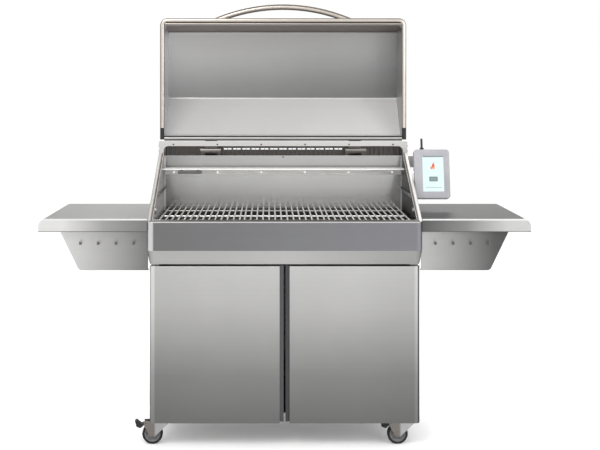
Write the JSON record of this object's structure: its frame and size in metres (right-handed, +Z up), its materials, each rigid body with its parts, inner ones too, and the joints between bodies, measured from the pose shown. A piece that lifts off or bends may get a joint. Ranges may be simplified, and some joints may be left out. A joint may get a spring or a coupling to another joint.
{
  "type": "pellet smoker grill",
  "caption": "Brushed steel pellet smoker grill on a wheeled cabinet, with its bowed-handle hood open, side shelves, rod grates, double doors and a touchscreen controller.",
  "frame": {"origin": "middle of the base of the whole object's box, on the floor under the tyres", "axes": "+X to the right over the side shelves, +Y from the doors to the back, +Z up"},
  "size_m": [1.904, 0.748, 1.7569],
  "materials": {
    "brushed_body": "brushed, satin",
    "chamber_steel": "plain rolled",
    "bright_trim": "polished",
    "grate_steel": "drawn rod",
    "dark_steel": "heat darkened",
    "galvanised": "zinc coated",
    "black_paint": "matt",
    "black_plastic": "matt",
    "grey_plastic": "satin",
    "black_rubber": "matt",
    "ceramic_white": "matt",
    "screen": "lit glass panel"
  },
  "bodies": {
    "grill": {"auger_motor": "black_paint", "auger_tube": "dark_steel", "blower_housing": "galvanised", "burn_pot": "dark_steel", "cabinet_back": "galvanised", "cabinet_floor": "brushed_body", "cabinet_sides": "brushed_body", "caster_plates": "galvanised", "controller_bracket": "galvanised", "controller_housing": "grey_plastic", "door_hinge_leaves": "bright_trim", "drip_tray": "dark_steel", "firebox_liner": "chamber_steel", "firebox_shell": "brushed_body", "heat_deflector": "dark_steel", "hinge_pins": "bright_trim", "hood_hinge_brackets": "bright_trim", "hopper": "brushed_body", "igniter": "ceramic_white", "panel_screws": "bright_trim", "power_inlet": "black_plastic", "probe_ports": "bright_trim", "rack_rails": "chamber_steel", "rear_forks": "galvanised", "rear_frame": "bright_trim", "rear_ledge": "bright_trim", "shelf_brackets": "brushed_body", "shelf_left": "brushed_body", "shelf_right": "brushed_body", "temperature_probe": "dark_steel", "tool_hooks": "dark_steel", "touchscreen": "screen", "vent_grille": "black_paint"},
    "hood": {"hood_shell": "brushed_body", "hood_liner": "chamber_steel", "hood_rim": "bright_trim", "rim_end_caps": "black_plastic", "hood_handle": "bright_trim", "hood_hinge_arms": "bright_trim"},
    "left_door": {"door_left": "brushed_body", "door_liner_left": "brushed_body"},
    "right_door": {"door_right": "brushed_body", "door_liner_right": "brushed_body"},
    "left_grate": {"grate_left": "grate_steel"},
    "middle_grate": {"grate_middle": "grate_steel"},
    "right_grate": {"grate_right": "grate_steel"},
    "lid": {"hopper_lid": "brushed_body"},
    "auger": {"auger_screw": "dark_steel"},
    "blower_wheel": {"blower_rotor": "galvanised"},
    "aerial": {"antenna": "black_plastic"},
    "left_swivel": {"fork_front_left": "galvanised"},
    "left_front_wheel": {"wheel_hub_front_left": "grey_plastic", "tyre_front_left": "black_rubber"},
    "left_brake": {"brake_pedal_left": "black_plastic"},
    "left_rear_wheel": {"wheel_rear_left": "black_rubber"},
    "right_swivel": {"fork_front_right": "galvanised"},
    "right_front_wheel": {"wheel_hub_front_right": "grey_plastic", "tyre_front_right": "black_rubber"},
    "right_brake": {"brake_pedal_right": "black_plastic"},
    "right_rear_wheel": {"wheel_rear_right": "black_rubber"}
  },
  "joints": [
    {"name": "hood_hinge", "type": "hinge", "parent": "grill", "child": "hood", "pos_m": [0, 0.131, 1.125], "axis": [-1, 0, 0], "range_deg": [-115.6, 0]},
    {"name": "left_door_hinge", "type": "hinge", "parent": "grill", "child": "left_door", "pos_m": [-0.5215, -0.326, 0.4], "axis": [0, 0, -1], "range_deg": [0, 95]},
    {"name": "right_door_hinge", "type": "hinge", "parent": "grill", "child": "right_door", "pos_m": [0.5215, -0.326, 0.4], "axis": [0, 0, 1], "range_deg": [0, 95]},
    {"name": "left_grate_lift", "type": "slide", "parent": "grill", "child": "left_grate", "axis": [0, 0, 1], "range_m": [0, 0.12]},
    {"name": "middle_grate_lift", "type": "slide", "parent": "grill", "child": "middle_grate", "axis": [0, 0, 1], "range_m": [0, 0.12]},
    {"name": "right_grate_lift", "type": "slide", "parent": "grill", "child": "right_grate", "axis": [0, 0, 1], "range_m": [0, 0.12]},
    {"name": "lid_hinge", "type": "hinge", "parent": "grill", "child": "lid", "pos_m": [0, 0.37, 1.06], "axis": [-1, 0, 0], "range_deg": [0, 95]},
    {"name": "auger_spin", "type": "hinge", "parent": "grill", "child": "auger", "pos_m": [0, 0.126, 0.76], "axis": [0, 1, 0], "continuous": true},
    {"name": "blower_spin", "type": "hinge", "parent": "grill", "child": "blower_wheel", "pos_m": [0.16, 0.066, 0.63], "axis": [1, 0, 0], "continuous": true},
    {"name": "aerial_fold", "type": "hinge", "parent": "grill", "child": "aerial", "pos_m": [0.573, -0.02827, 1.13928], "axis": [-1, 0, 0], "range_deg": [0, 85]},
    {"name": "left_swivel_turn", "type": "hinge", "parent": "grill", "child": "left_swivel", "pos_m": [-0.4795, -0.292, 0.1], "axis": [0, 0, 1], "continuous": true},
    {"name": "left_front_wheel_spin", "type": "hinge", "parent": "left_swivel", "child": "left_front_wheel", "pos_m": [-0.5165, -0.292, 0.04], "axis": [0, 1, 0], "continuous": true},
    {"name": "left_brake_press", "type": "hinge", "parent": "left_swivel", "child": "left_brake", "pos_m": [-0.5415, -0.292, 0.083], "axis": [0, -1, 0], "range_deg": [0, 12]},
    {"name": "left_rear_wheel_spin", "type": "hinge", "parent": "grill", "child": "left_rear_wheel", "pos_m": [-0.4795, 0.126, 0.04], "axis": [1, 0, 0], "continuous": true},
    {"name": "right_swivel_turn", "type": "hinge", "parent": "grill", "child": "right_swivel", "pos_m": [0.4795, -0.292, 0.1], "axis": [0, 0, 1], "continuous": true},
    {"name": "right_front_wheel_spin", "type": "hinge", "parent": "right_swivel", "child": "right_front_wheel", "pos_m": [0.4425, -0.292, 0.04], "axis": [0, 1, 0], "continuous": true},
    {"name": "right_brake_press", "type": "hinge", "parent": "right_swivel", "child": "right_brake", "pos_m": [0.4175, -0.292, 0.083], "axis": [0, -1, 0], "range_deg": [0, 12]},
    {"name": "right_rear_wheel_spin", "type": "hinge", "parent": "grill", "child": "right_rear_wheel", "pos_m": [0.4795, 0.126, 0.04], "axis": [1, 0, 0], "continuous": true}
  ]
}
